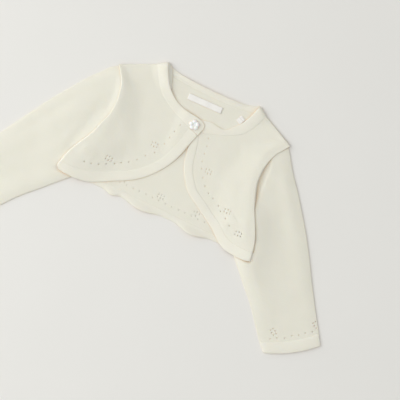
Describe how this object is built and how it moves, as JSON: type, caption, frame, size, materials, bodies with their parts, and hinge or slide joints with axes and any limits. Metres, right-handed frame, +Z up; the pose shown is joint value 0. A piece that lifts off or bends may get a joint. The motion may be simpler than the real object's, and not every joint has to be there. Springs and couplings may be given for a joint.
{
  "type": "baby cardigan laid flat",
  "caption": "Short baby cardigan in fine cream cotton knit, laid flat, with long sleeves, rounded open fronts and a flower button at the neck.",
  "frame": {"origin": "middle of the outline in plan, at the height of the surface that the cardigan lies on", "axes": "+X along the shoulders to the wearer's left, +Y from the hem to the neck, +Z up from the surface"},
  "size_m": [0.5204, 0.2768, 0.0119],
  "materials": {
    "knit": "matt fine plain knit, cream",
    "knit_band": "matt smooth double knit, cream",
    "button": "glossy white",
    "woven": "smooth woven white"
  },
  "bodies": {
    "root": {"back": "knit", "front_left": "knit", "front_right": "knit", "sleeve_left": "knit", "sleeve_right": "knit", "hem_band_back": "knit_band", "neckband_back": "knit_band", "neckband_left": "knit_band", "neckband_right": "knit_band", "front_band_left": "knit_band", "front_band_right": "knit_band", "cuff_left": "knit_band", "cuff_right": "knit_band", "button": "button", "neck_label": "woven", "side_tab": "woven"}
  },
  "joints": []
}
